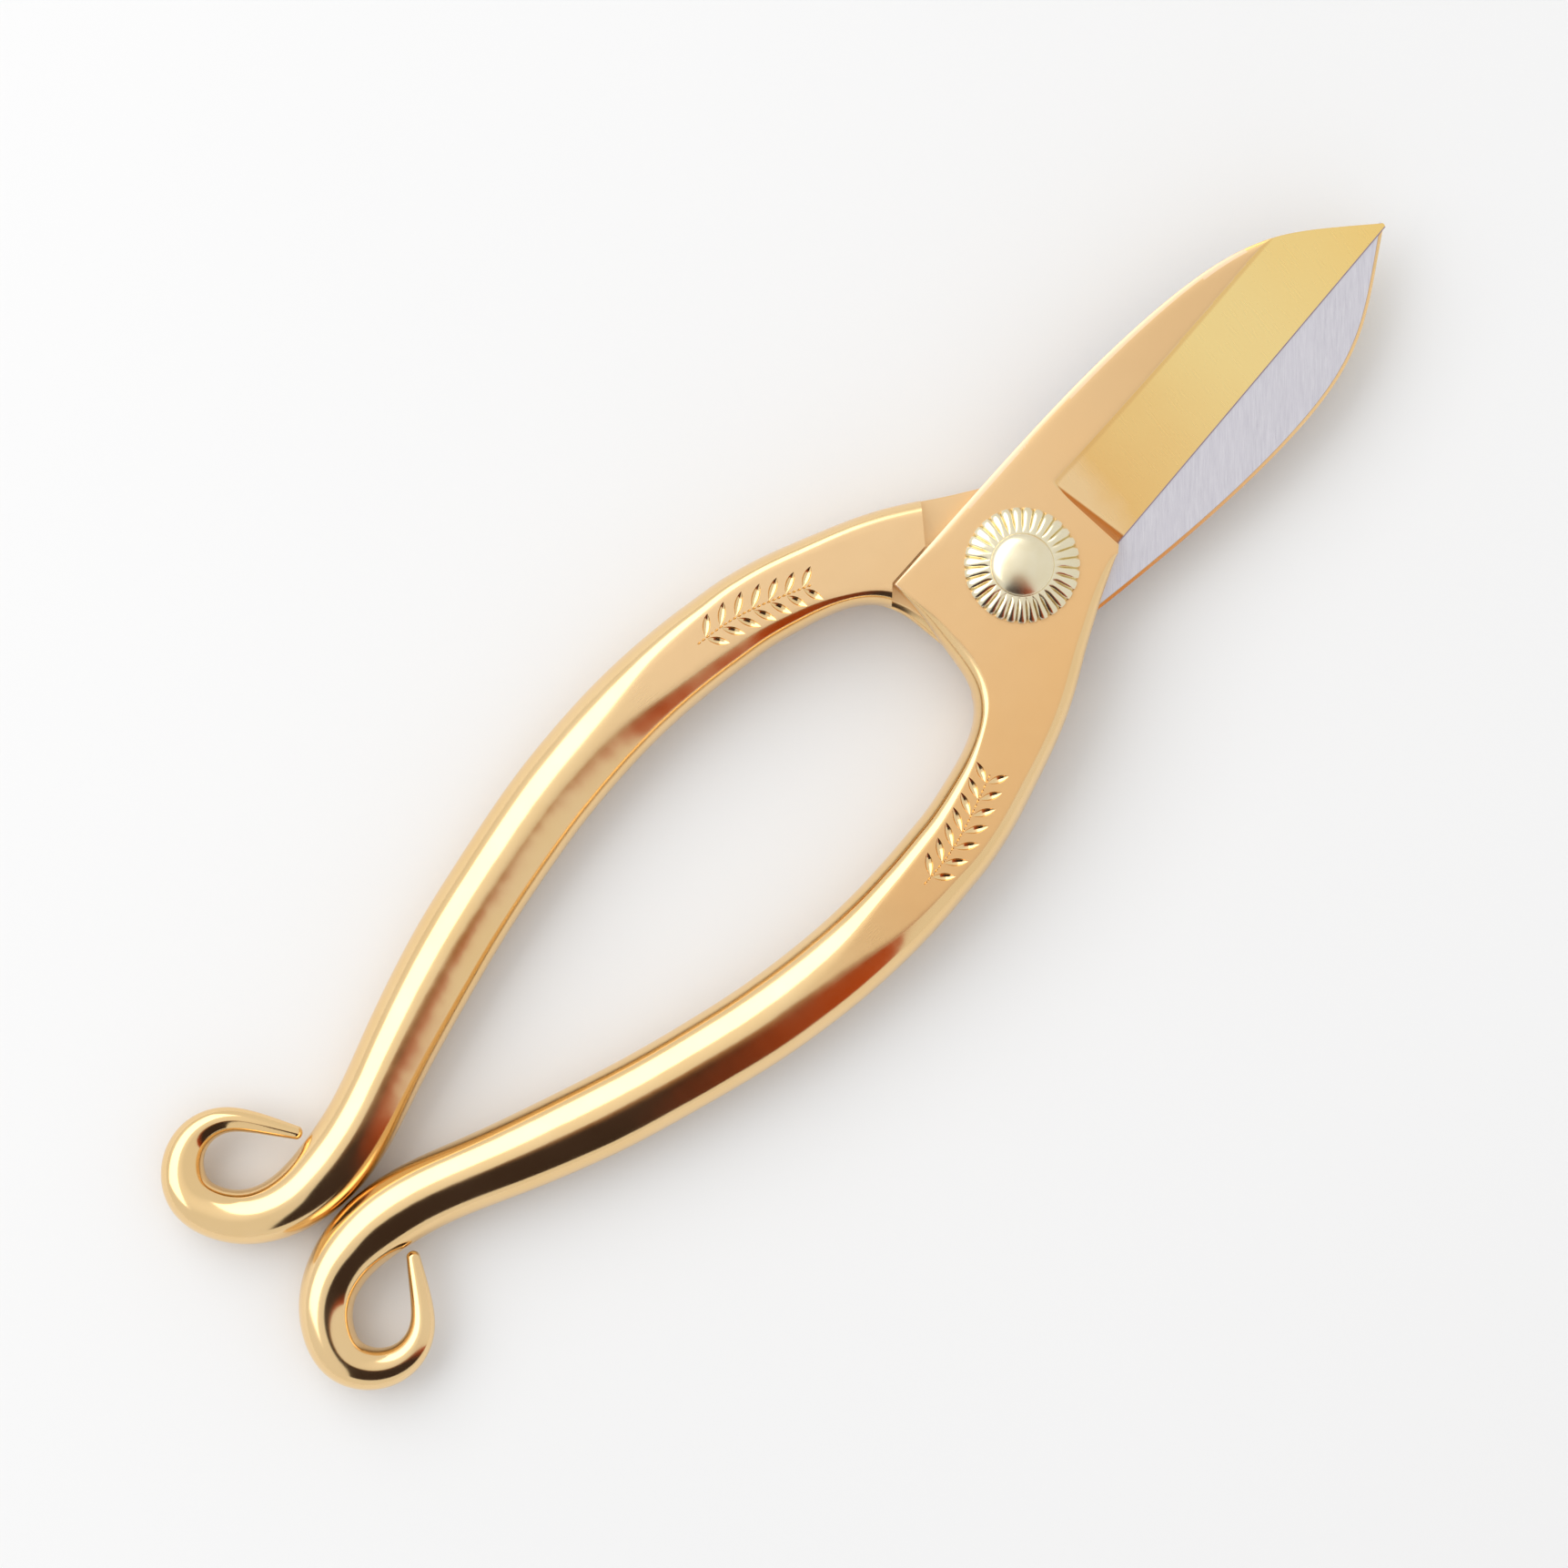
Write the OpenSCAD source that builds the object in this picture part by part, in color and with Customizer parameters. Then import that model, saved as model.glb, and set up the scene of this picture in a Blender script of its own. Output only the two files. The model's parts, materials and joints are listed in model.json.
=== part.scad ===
// Floral snips with fern-curl handles: two identical forged levers on one rivet.
// X runs from the curled ends (-) to the blade tips (+), Z is the pivot axis, and
// the snips lie on the flat rear end of the rivet at z = 0. Millimetres.
// Only the front lever is drawn; the rear one is the same lever turned over.

/* [Levers] */
// Reach of the blade tips from the pivot
blade_reach = 54.7; // [53:0.1:57]
// Thickness of each lever at the pivot
lever_t = 3.9; // [3.4:0.1:4.4]
// How far the handles stay below the outer face on the other lever's side
nest_step = 0.2; // [0.1:0.05:0.4]
// Gap between the two inner faces, on each side of the middle plane
face_gap = 0.03; // [0.02:0.01:0.06]
// Side clearance between a lever and the shoulder of the other
shoulder_gap = 0.25; // [0.15:0.05:0.4]
// Slope of the stop shoulder from the back of the other blade when shut, degrees
stop_angle = 47; // [44:1:48]
// Extra room between the stop shoulder and the other blade's back
stop_room = 1; // [0.8:0.1:1.2]

/* [Blades] */
// Thickness left at the cutting edge
edge_t = 0.3; // [0.2:0.05:0.5]
// Slope of the ground bevel, degrees
bevel_angle = 21.4; // [20:0.1:23]
// Thickness of the hard steel facing
facing_t = 0.9; // [0.6:0.1:1.2]
// Width of the body left showing round the facing, along the spine
facing_inset = 0.4; // [0.3:0.1:0.6]
// Thickness of the body left over the facing on the bevel
facing_cover = 0.12; // [0.08:0.02:0.16]

/* [Pivot] */
// Radius of the rivet shank
shank_r = 2.6; // [2.2:0.1:3]
// Radial running clearance on the shank
running_gap = 0.05; // [0.03:0.01:0.08]
// Radius of the rosette washers
rosette_r = 6.3; // [6:0.1:6.6]
// Height of the rosette washers at their centre
rosette_t = 1.3; // [1.2:0.1:1.5]
// Number of flutes round a rosette
flutes = 31; // [26:1:34]
// Height of the domed head over its washer
dome_h = 1; // [0.8:0.1:1.2]
// Height of the peened head over its washer
peen_h = 0.9; // [0.7:0.1:1.2]

/* [Detail] */
// Rings along the round part of each handle
rod_rings = 50; // [40:2:60]
// Points round each ring, a multiple of four
ring_points = 20; // [16:4:24]

/* [Hidden] */
$fn = 64;

gold = [0.92, 0.72, 0.42];
pale_brass = [0.88, 0.82, 0.60];
steel = [0.78, 0.77, 0.80];

mid_z = lever_t + rosette_t + peen_h;
bore_r = shank_r + running_gap;
rod_bottom = -(lever_t - nest_step);
rod_mid = (lever_t + rod_bottom) / 2;
rod_half = (lever_t - rod_bottom) / 2;
overlap = 0.5;

// The round handle from its curled tip to its root: centre x, y, width, and how
// far the inner and the outer edge are rounded; half the width is fully round.
rod = [
    [-99.9, -9.3, 1.5, 0.75, 0.75], [-101.3, -11.5, 2.0, 1, 1], [-102.7, -13.6, 2.4, 1.2, 1.2],
    [-104.8, -15.8, 2.9, 1.45, 1.45], [-107.9, -16.7, 3.7, 1.85, 1.85], [-111.2, -15.4, 4.6, 2.3, 2.3],
    [-113.0, -12.2, 5.3, 2.65, 2.65], [-112.1, -8.7, 5.7, 2.85, 2.85], [-109.8, -6.1, 6.1, 3.05, 3.05],
    [-106.7, -4.55, 6.7, 3.35, 3.35], [-103.2, -3.95, 7.4, 3.7, 3.7], [-99.5, -4.1, 7.9, 3.95, 3.95],
    [-95, -5.0, 8.0, 4, 4], [-90, -6.7, 8.0, 4, 4], [-85, -8.6, 8.3, 4.15, 4.15],
    [-79, -10.7, 8.7, 4.35, 4.35], [-73, -12.6, 8.9, 4.45, 4.45], [-67, -14.2, 8.9, 4.45, 4.45],
    [-61, -15.6, 9.0, 4.5, 4.5], [-55, -16.8, 9.1, 4.55, 4.55], [-49, -17.6, 9.15, 4.4, 4.5],
    [-43, -18.05, 9.2, 4, 4.1], [-37, -18.05, 9.25, 3.1, 3], [-31, -17.6, 9.25, 2.7, 2.4],
    [-25.5, -16.9, 9.2, 2.4, 2]
];
// Ribs across the root, which fans out from the handle to the pivot: inner point,
// outer point, and how far each edge is rounded. The last runs from corner to heel.
corner = [-11.5, 8];
heel = [8.5, -6.2];
ribs = [
    [-22.4, -11.5, -19.7, -20.15, 2.1, 1.8], [-19.4, -10.65, -15.4, -18.6, 1.8, 1.7],
    [-17.1, -9.75, -11.4, -17.05, 1.5, 1.6], [-15.2, -8.6, -7.7, -15.4, 1.5, 1.6],
    [-13.7, -7, -4.3, -13.5, 1.7, 1.6], [-12.8, -5, -1.2, -11.55, 1.9, 1.6],
    [-12.35, -2.5, 1.6, -9.9, 2.1, 1.5], [-12, 0.2, 4.2, -8.4, 1.8, 1.4],
    [-11.6, 3, 6.3, -7.3, 1.2, 1.2], [-11.45, 5.6, 7.8, -6.5, 0.5, 0.8],
    [corner[0], corner[1], heel[0], heel[1], 0.3, 0.3]
];
// The back of the blade, from the corner of the pivot plate to the tip.
spine = [
    corner, [0, 9], [10, 9.8], [20, 10.3], [27, 10.3], [34, 9.85],
    [40, 8.75], [45, 6.75], [50, 3.5], [blade_reach, 0]
];
// The cutting edge is a straight line from heel to tip.
edge_heel = [9.4, -5.4];
edge_tip = [blade_reach - 0.1, -0.25];
edge_turn = atan((edge_tip[1] - edge_heel[1]) / (edge_tip[0] - edge_heel[0]));
bevel_start = 9.1;

// The shoulder where a handle's full thickness stops short of the other lever. It
// follows the other blade's back when shut, then turns out of the opening blade's way.
spine_slope = atan((spine[1][1] - corner[1]) / (spine[1][0] - corner[0]));
spine_reach = spine[1][1] * cos(spine_slope) + shoulder_gap;
stop_slope = stop_angle + spine_slope;
stop_reach = spine_reach + stop_room;
function foot(x, slope, reach) = [x, -(reach + x * sin(slope)) / cos(slope)];
turn_x = (spine_reach / cos(spine_slope) - stop_reach / cos(stop_slope))
    / (tan(stop_slope) - tan(spine_slope));
shoulder = [
    foot(6, stop_slope, stop_reach), foot(turn_x, stop_slope, stop_reach),
    foot(corner[0], spine_slope, spine_reach), [-12.4, -7.3], [-13.3, -6.4]
];

// A smooth curve through points of any dimension, at a share of the way along it.
function span_at(p, i, t) =
    let(
        n = len(p) - 1,
        a = p[max(i - 1, 0)], b = p[i], c = p[min(i + 1, n)], d = p[min(i + 2, n)]
    )
    0.5 * (2 * b + (c - a) * t + (2 * a - 5 * b + 4 * c - d) * t * t + (3 * b - 3 * c + d - a) * t * t * t);
function along(p, share) =
    let(s = share * (len(p) - 1), i = min(floor(s), len(p) - 2))
    span_at(p, i, s - i);

// A rib across the rod, square to its run.
function rod_rib(share) =
    let(
        at = along(rod, share),
        run = along(rod, min(share + 0.002, 1)) - along(rod, max(share - 0.002, 0)),
        side = [-run[1], run[0]] / norm([run[0], run[1]]) * at[2] / 2
    )
    [at[0] + side[0], at[1] + side[1], at[0] - side[0], at[1] - side[1], at[3], at[4]];

// A ring round a rib: flat above and below, a quarter ellipse at each corner.
function ring(rib) =
    let(
        middle = [rib[0] + rib[2], rib[1] + rib[3]] / 2,
        half = norm([rib[0] - rib[2], rib[1] - rib[3]]) / 2,
        inward = [rib[0] - rib[2], rib[1] - rib[3]] / (2 * half),
        high = min(half, rod_half)
    )
    [for (k = [0:ring_points - 1])
        let(
            a = 360 * (k + 0.5) / ring_points,
            round_by = cos(a) > 0 ? rib[4] : rib[5],
            out = sign(cos(a)) * (half - round_by) + round_by * cos(a)
        )
        [middle[0] + inward[0] * out, middle[1] + inward[1] * out, rod_mid + high * sin(a)]];

// Handle and root as one closed skin over the rings, from curled tip to pivot.
module handle() {
    root_steps = 2;
    root_ribs = concat([rod_rib(1)], ribs);
    last = len(ribs) * root_steps;
    rings = concat(
        [for (i = [0:rod_rings]) ring(rod_rib(i / rod_rings))],
        [for (i = [1:last]) ring(along(root_ribs, i / last))]
    );
    n = ring_points;
    end = (len(rings) - 1) * n;
    polyhedron(
        points = [for (r = rings) for (p = r) p],
        faces = concat(
            [[for (k = [0:n - 1]) k]],
            [for (i = [0:n:end - n]) for (k = [0:n - 1])
                [i + k, i + n + k, i + n + (k + 1) % n, i + (k + 1) % n]],
            [[for (k = [n - 1:-1:0]) end + k]]
        )
    );
}

// The blade in plan, with a tongue that overlaps the root along its last rib.
module blade_outline() {
    spine_points = 36;
    polygon(concat(
        [for (i = [0:spine_points]) along(spine, i / spine_points)],
        [edge_tip, edge_heel, heel, [4, -4.5], [-7, 3]]
    ));
}

// Everything above the ground bevel, or this far below it, beyond the step that ends it.
module bevel_cut(below = 0) {
    intersection() {
        translate([edge_heel[0], edge_heel[1], edge_t - below])
            rotate([0, 0, edge_turn])
                rotate([bevel_angle, 0, 0])
                    translate([-20, -20, 0])
                        cube([90, 60, 20]);
        translate([bevel_start, -30, 0])
            cube([60, 60, 30]);
    }
}

// The hard steel that backs the edge, from the tip to an arc round the pivot.
module facing_outline() {
    difference() {
        intersection() {
            offset(delta = -facing_inset) blade_outline();
            translate([0, -30]) square([60, 60]);
        }
        circle(r = rosette_r + 1.2);
    }
    polygon([edge_heel, edge_tip, edge_tip + [-4, 1], edge_heel + [1, 2]]);
}

// The facing, or with some extra depth the pocket that it lies in.
module facing(extra = 0) {
    difference() {
        translate([0, 0, face_gap - extra])
            linear_extrude(facing_t + extra)
                facing_outline();
        bevel_cut(facing_cover);
    }
}

// Room for the other lever's plate and blade, below the middle plane.
module lap_cut() {
    depth = 2 * lever_t;
    translate([0, 0, face_gap - depth])
        linear_extrude(depth)
            polygon(concat([[60, -20]], shoulder, [[-15, -5.5], [-15, 12], [60, 12]]));
}

module lever() {
    color(gold)
        difference() {
            union() {
                handle();
                linear_extrude(lever_t) blade_outline();
            }
            lap_cut();
            bevel_cut();
            facing(overlap);
            translate([0, 0, -lever_t])
                cylinder(h = 3 * lever_t, r = bore_r);
        }
}

module cutting_steel() {
    color(steel) facing();
}

// A pressed washer, crowned under the rivet's head, with flutes ground down its rim.
module rosette() {
    rim_t = 0.2;
    seat_r = 3.5;
    flute_start = [seat_r + 0.2, 0, rosette_t + 0.15];
    flute_slope = 19;
    color(pale_brass)
        difference() {
            rotate_extrude()
                polygon([
                    [bore_r, 0], [rosette_r, 0], [rosette_r, rim_t],
                    [rosette_r - 0.25, rosette_t - 0.8], [rosette_r - 0.8, rosette_t - 0.45],
                    [rosette_r - 1.7, rosette_t - 0.12], [seat_r, rosette_t], [bore_r, rosette_t]
                ]);
            for (i = [0:flutes - 1])
                rotate([0, 0, i * 360 / flutes])
                    translate(flute_start)
                        rotate([0, 90 + flute_slope, 0])
                            cylinder(h = 3, r1 = 0.2, r2 = 0.5, $fn = 24);
        }
}

// A round-headed rivet, peened over the rear rosette to a flat end.
module rivet() {
    dome_r = 3.5;
    peen_r = 3.4;
    peen_flat_r = 2.5;
    seat = lever_t + rosette_t;
    ball_r = (dome_r * dome_r + dome_h * dome_h) / (2 * dome_h);
    dome_angle = asin(dome_r / ball_r);
    dome_steps = 12;
    color(pale_brass)
        rotate_extrude()
            polygon(concat(
                [
                    [0, -seat - peen_h], [peen_flat_r, -seat - peen_h],
                    [peen_r - 0.2, -seat - peen_h * 0.55], [peen_r, -seat],
                    [shank_r, -seat], [shank_r, seat], [dome_r, seat]
                ],
                [for (k = [1:dome_steps])
                    let(a = dome_angle * (1 - k / dome_steps))
                    [ball_r * sin(a), seat + dome_h - ball_r * (1 - cos(a))]]
            ));
}

module turned_over() {
    rotate([180, 0, 0]) children();
}

module front_lever() {
    translate([0, 0, mid_z]) lever();
}

module rear_lever() {
    translate([0, 0, mid_z]) turned_over() lever();
}

module front_cutting_steel() {
    translate([0, 0, mid_z]) cutting_steel();
}

module rear_cutting_steel() {
    translate([0, 0, mid_z]) turned_over() cutting_steel();
}

module pivot_rivet() {
    translate([0, 0, mid_z]) rivet();
}

module front_rosette() {
    translate([0, 0, mid_z + lever_t]) rosette();
}

module rear_rosette() {
    translate([0, 0, mid_z - lever_t]) turned_over() rosette();
}

front_lever();
rear_lever();
front_cutting_steel();
rear_cutting_steel();
pivot_rivet();
front_rosette();
rear_rosette();
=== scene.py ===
"""Floral snips: gold-plated levers with fern-curl handles, steel-faced blades and a
fluted rosette pivot. Lengths are worked out in millimetres and stored in metres."""

import json
import math

import bmesh
import bpy
import numpy as np
from mathutils import Matrix, Vector


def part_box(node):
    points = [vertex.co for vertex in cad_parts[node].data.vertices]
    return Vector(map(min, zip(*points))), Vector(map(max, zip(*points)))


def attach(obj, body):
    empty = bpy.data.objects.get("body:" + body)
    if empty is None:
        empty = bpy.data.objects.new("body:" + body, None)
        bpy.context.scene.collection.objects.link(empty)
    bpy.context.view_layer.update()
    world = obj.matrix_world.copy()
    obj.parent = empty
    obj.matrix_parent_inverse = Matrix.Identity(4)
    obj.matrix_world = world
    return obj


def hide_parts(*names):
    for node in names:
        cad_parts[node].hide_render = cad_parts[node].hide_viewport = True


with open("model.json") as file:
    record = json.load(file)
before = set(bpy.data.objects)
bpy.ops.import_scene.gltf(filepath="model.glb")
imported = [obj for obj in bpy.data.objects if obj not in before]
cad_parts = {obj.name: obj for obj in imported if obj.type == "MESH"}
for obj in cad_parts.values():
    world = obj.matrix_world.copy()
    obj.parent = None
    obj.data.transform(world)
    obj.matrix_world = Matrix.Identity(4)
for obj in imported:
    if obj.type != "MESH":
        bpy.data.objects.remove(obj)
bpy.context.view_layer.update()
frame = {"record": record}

MM = 0.001

# ---------------------------------------------------------------- sizes, from the frame
MID_Z = frame["record"]["behaviour"]["joints"][0]["pos_m"][2] / MM
LEVER_LOW, LEVER_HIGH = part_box("front_lever")
ROSETTE_LOW, ROSETTE_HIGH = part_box("front_rosette")
RIVET_LOW, RIVET_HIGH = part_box("pivot_rivet")
TIP_X = LEVER_HIGH[0] / MM
PLATE_T = LEVER_HIGH[2] / MM - MID_Z
LEVER_BOTTOM = LEVER_LOW[2] / MM - MID_Z
ROSETTE_R = ROSETTE_HIGH[0] / MM
ROSETTE_T = (ROSETTE_HIGH[2] - ROSETTE_LOW[2]) / MM
DOME_TOP = RIVET_HIGH[2] / MM - MID_Z
PEEN_END = RIVET_LOW[2] / MM - MID_Z

# ---------------------------------------------------------------- sizes that repeat the CAD's
FACE_GAP = 0.03
EDGE_T = 0.3
BORE_R = 2.65
SHANK_R = 2.6
FLUTES = 31
SHOULDER_GAP = 0.25
STOP_ANGLE = 47.0
STOP_ROOM = 1.0
FACING_T = 0.9
FACING_INSET = 0.4
FACING_COVER = 0.12
# The bevel that the facing lies under, its gap round the rosette, where it starts on the
# spine's side, and how far below the pivot its arc starts.
FACING_BEVEL = 9.1
FACING_CLEAR = 1.2
FACING_FROM = 1.0
FACING_LOW = 5.2
# How far the steel stands past the gold at the cutting edge, and how steep it is there.
EDGE_PROUD = 0.13
EDGE_STEEP = 1.0

CORNER = (-11.5, 8.0)
HEEL = (8.5, -6.2)
EDGE_HEEL = (9.4, -5.4)
EDGE_TIP = (TIP_X - 0.1, -0.25)

# The round handle from its curled tip to its root: centre x, y, width, and how far the
# inner and the outer edge are rounded.
ROD = [
    (-99.9, -9.3, 1.5, 0.75, 0.75), (-101.3, -11.5, 2.0, 1, 1), (-102.7, -13.6, 2.4, 1.2, 1.2),
    (-104.8, -15.8, 2.9, 1.45, 1.45), (-107.9, -16.7, 3.7, 1.85, 1.85), (-111.2, -15.4, 4.6, 2.3, 2.3),
    (-113.0, -12.2, 5.3, 2.65, 2.65), (-112.1, -8.7, 5.7, 2.85, 2.85), (-109.8, -6.1, 6.1, 3.05, 3.05),
    (-106.7, -4.55, 6.7, 3.35, 3.35), (-103.2, -3.95, 7.4, 3.7, 3.7), (-99.5, -4.1, 7.9, 3.95, 3.95),
    (-95, -5.0, 8.0, 4, 4), (-90, -6.7, 8.0, 4, 4), (-85, -8.6, 8.3, 4.15, 4.15),
    (-79, -10.7, 8.7, 4.35, 4.35), (-73, -12.6, 8.9, 4.45, 4.45), (-67, -14.2, 8.9, 4.45, 4.45),
    (-61, -15.6, 9.0, 4.5, 4.5), (-55, -16.8, 9.1, 4.55, 4.55), (-49, -17.6, 9.15, 4.4, 4.5),
    (-43, -18.05, 9.2, 4, 4.1), (-37, -18.05, 9.25, 3.1, 3), (-31, -17.6, 9.25, 2.7, 2.4),
    (-25.5, -16.9, 9.2, 2.4, 2),
]
# Ribs across the root: inner point, outer point, rounding of each, height of each rounding.
ROOT = [
    (-22.4, -11.5, -19.7, -20.15, 2.1, 1.8, 3.8, 3.6), (-19.4, -10.65, -15.4, -18.6, 1.8, 1.7, 3.8, 3.2),
    (-17.1, -9.75, -11.4, -17.05, 1.5, 1.6, 3.8, 2.8), (-15.2, -8.6, -7.7, -15.4, 1.5, 1.6, 3.6, 2.5),
    (-13.7, -7, -4.3, -13.5, 1.7, 1.6, 3.4, 2.3), (-12.8, -5, -1.2, -11.55, 1.9, 1.6, 3.2, 2.2),
    (-12.35, -2.5, 1.6, -9.9, 2.1, 1.5, 3.0, 2.1), (-12.0, 0.2, 4.2, -8.4, 1.8, 1.4, 2.5, 1.8),
    (-11.6, 3.0, 6.3, -7.3, 1.2, 1.2, 1.7, 1.4), (-11.45, 5.6, 7.8, -6.5, 0.5, 0.8, 0.8, 0.8),
    (CORNER[0], CORNER[1], HEEL[0], HEEL[1], 0.3, 0.3, 0.3, 0.3),
]
# The back of the blade, from the corner of the pivot plate to the tip.
SPINE = [
    CORNER, (0, 9), (10, 9.8), (20, 10.3), (27, 10.3), (34, 9.85),
    (40, 8.75), (45, 6.75), (50, 3.5), (TIP_X, 0),
]

# Mesh fineness: rings along each stretch, and points over and under each ring. The curl
# is the first CURL_RIBS of the rod's ribs and takes CURL_RINGS of its rings.
ROD_RINGS = 330
CURL_RIBS = 24
CURL_RINGS = 150
ROOT_RINGS = 70
OVER = 66
UNDER = 34

HIGH = (PLATE_T - LEVER_BOTTOM) / 2
CENTRE_Z = (PLATE_T + LEVER_BOTTOM) / 2

# ---------------------------------------------------------------- view, rest and room
# How far the snips are turned in the picture, and the point the camera stands over.
VIEW_TURN = math.radians(43.34)
CAMERA_X, CAMERA_Y = -35.0, 0.46
CAMERA_DISTANCE = 480.0
SENSOR = 36.0
# What the picture's width spans at the middle plane.
FRAME_WIDTH = 171.3
# Where the table touches: this far out on the rivet's end, and this far towards the curls.
REST_R = 2.5
REST_REACH = 100.0
TABLE_REACH = 4000.0
# The room's tone away from its bright side and at it, where in the picture that side is,
# and how squarely a direction points at it where one tone passes into the other.
ROOM_TONE = (0.82, 0.82, 0.82)
ROOM_BRIGHT = (1.07, 1.07, 1.07)
BRIGHT_SIDE = (140, 40)
ROOM_RAMP = (0.70, 0.98)
# Where the card turns from dark to warm, and from either to its overhead tone, in metres.
CARD_WARMS = (-0.012, 0.060)
CARD_LIFTS = (0.22, 0.66)
IMAGE_RIGHT = Vector((math.cos(VIEW_TURN), -math.sin(VIEW_TURN), 0))
IMAGE_UP = Vector((math.sin(VIEW_TURN), math.cos(VIEW_TURN), 0))


# ---------------------------------------------------------------- curves
def spline(points):
    """A smooth curve through points of any dimension: a function of an array from 0 to 1."""
    p = np.array(points, float)
    knots = np.concatenate([[0], np.cumsum(np.linalg.norm(np.diff(p[:, :2], axis=0), axis=1))])
    n = len(p)
    h = np.diff(knots)
    a = np.zeros((n, n))
    b = np.zeros((n, p.shape[1]))
    a[0, 0] = a[-1, -1] = 1
    for i in range(1, n - 1):
        a[i, i - 1], a[i, i], a[i, i + 1] = h[i - 1], 2 * (h[i - 1] + h[i]), h[i]
        b[i] = 6 * ((p[i + 1] - p[i]) / h[i] - (p[i] - p[i - 1]) / h[i - 1])
    m = np.linalg.solve(a, b)

    def at(t):
        s = np.clip(np.atleast_1d(t), 0, 1) * knots[-1]
        i = np.clip(np.searchsorted(knots, s, side="right") - 1, 0, n - 2)
        u = (s - knots[i])[:, None]
        v = (knots[i + 1] - s)[:, None]
        w = h[i][:, None]
        return (m[i] * v**3 + m[i + 1] * u**3) / (6 * w) + (p[i] / w - m[i] * w / 6) * v + (
            p[i + 1] / w - m[i + 1] * w / 6
        ) * u

    at.shares = knots / knots[-1]
    return at


def smooth_step(x, low, high):
    t = np.clip((x - low) / (high - low), 0, 1)
    return t * t * (3 - 2 * t)


def soft_min(a, b, blend):
    h = np.clip(0.5 + 0.5 * (b - a) / blend, 0, 1)
    return b + (a - b) * h - blend * h * (1 - h)


def resample(line, count, turn_weight):
    """count points along a polyline (u, z), denser where it turns; both ends are kept."""
    step = np.diff(line, axis=0)
    length = np.hypot(step[:, 0], step[:, 1])
    keep = np.concatenate([[True], length > 1e-6])
    line = line[keep]
    step = np.diff(line, axis=0)
    length = np.hypot(step[:, 0], step[:, 1])
    angle = np.unwrap(np.arctan2(step[:, 1], step[:, 0]))
    turn = np.abs(np.diff(angle))
    weight = length / length.sum()
    bend = np.zeros(len(length))
    bend[:-1] += turn / 2
    bend[1:] += turn / 2
    weight = weight + turn_weight * bend / math.pi
    along = np.concatenate([[0], np.cumsum(weight)])
    want = np.linspace(0, along[-1], count)
    return np.stack([np.interp(want, along, line[:, 0]), np.interp(want, along, line[:, 1])], 1)


# ---------------------------------------------------------------- the lever's shape
EDGE_RUN = np.subtract(EDGE_TIP, EDGE_HEEL) / np.hypot(*np.subtract(EDGE_TIP, EDGE_HEEL))
EDGE_SIDE = np.array([-EDGE_RUN[1], EDGE_RUN[0]])
EDGE_SLOPE = (EDGE_TIP[1] - EDGE_HEEL[1]) / (EDGE_TIP[0] - EDGE_HEEL[0])
# The step that ends the bevel, in plan: its end on the spine and its end on the edge.
STEP_BACK = (8.0, 9.73)
STEP_FRONT = (9.2, -5.57)
STEP_LEAN = (STEP_BACK[0] - STEP_FRONT[0]) / (STEP_BACK[1] - STEP_FRONT[1])
STEP_STEEP = 3.0
STEP_ROUND = 1.6
# The bevel's width at the tip, how much wider it is at the step and how soon that fades,
# its hollow grinding, and the rounding of the ridge above it.
BEVEL_WIDTH = 8.85
BEVEL_FLARE = 0.75
FLARE_START, FLARE_FADE = 9.8, 12
BEVEL_HOLLOW = 0.05
RIDGE_ROUND = 0.12
# Rounding of the inner edge along the spine.
SPINE_FILLET = 0.36
# Points across each rounded edge of a rib and across its middle, before they are thinned,
# and how strongly the thinning favours bends.
ROUND_POINTS, FLAT_POINTS = 40, 240
BENDS, FEW_BENDS = 1.2, 0.6


def beyond_step(x, y):
    """How far a point lies past the step that ends the bevel."""
    return x - STEP_BACK[0] - (y - STEP_BACK[1]) * STEP_LEAN


def top_height(x, y):
    """Height of the plate's and blade's top: flat, then a leaning step with a rounded foot,
    then the bevel."""
    away = (x - EDGE_HEEL[0]) * EDGE_SIDE[0] + (y - EDGE_HEEL[1]) * EDGE_SIDE[1]
    ridge = BEVEL_WIDTH + BEVEL_FLARE * np.exp(-np.maximum(x - FLARE_START, 0) / FLARE_FADE)
    rise = PLATE_T - EDGE_T
    share = np.clip(away / ridge, 0, 1.4)
    hollow = BEVEL_HOLLOW * np.sin(np.pi * np.clip(share, 0, 1))
    past = beyond_step(x, y)
    wall = PLATE_T - np.maximum(past, 0) * STEP_STEEP
    bevel = -soft_min(-wall, hollow - EDGE_T - rise * share, STEP_ROUND)
    ground = soft_min(np.full_like(bevel, PLATE_T), bevel, RIDGE_ROUND)
    return np.where(past < 0, PLATE_T, ground)


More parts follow.
